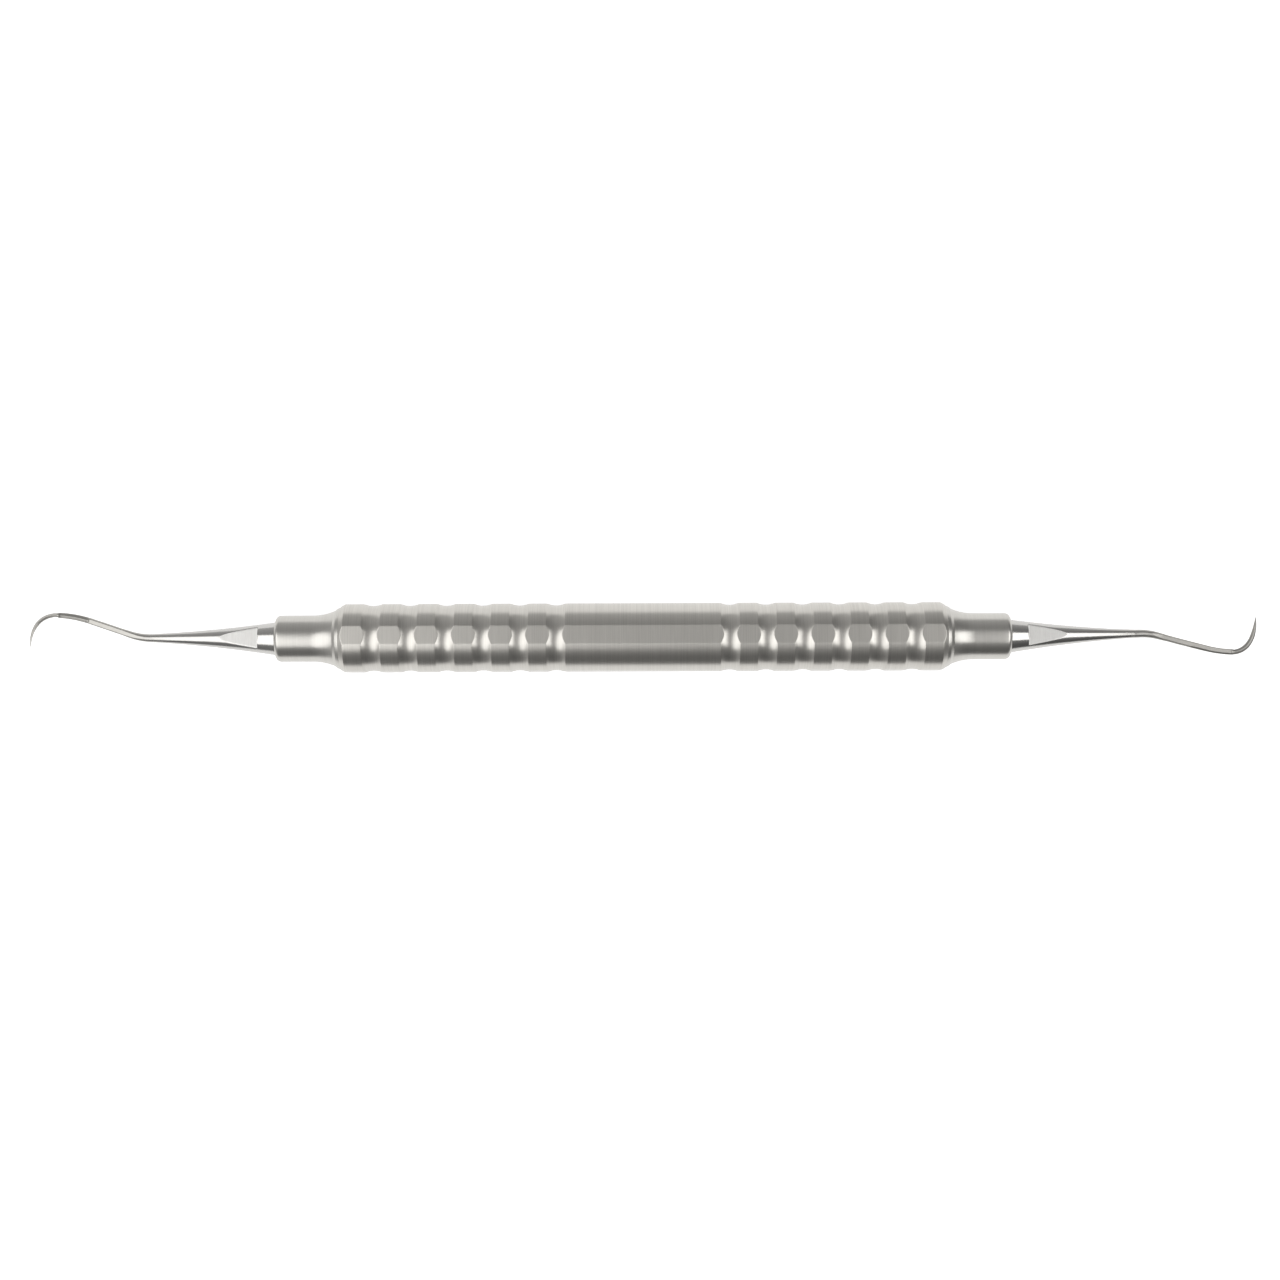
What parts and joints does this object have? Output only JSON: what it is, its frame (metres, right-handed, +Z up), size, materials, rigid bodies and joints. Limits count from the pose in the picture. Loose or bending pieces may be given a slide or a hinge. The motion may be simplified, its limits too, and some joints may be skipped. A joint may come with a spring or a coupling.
{
  "type": "hand scaler",
  "caption": "Double-ended dental hand scaler: hollow steel grip with turned finger grooves and flats, a nose at each end, and hooked sickle tips.",
  "frame": {"origin": "middle of the instrument's length, on the lower flat of the grip where it rests on a table", "axes": "+X along the grip, towards the right tip; +Z up, out of the flat opposite the one it rests on; +Y across, the side towards which the left shank bends before its blade hooks back"},
  "size_m": [0.1763, 0.0096, 0.0096],
  "materials": {
    "satin_steel_grip": "satin stainless steel with fine circumferential turning lines",
    "satin_steel_nose": "satin stainless steel with fine circumferential turning lines",
    "polished_steel_tip": "bright polished stainless steel, milled flats left matte"
  },
  "bodies": {
    "root": {"grip_tube": "satin_steel_grip", "nose_left": "satin_steel_nose", "nose_right": "satin_steel_nose", "tip_left": "polished_steel_tip", "tip_right": "polished_steel_tip"}
  },
  "joints": []
}
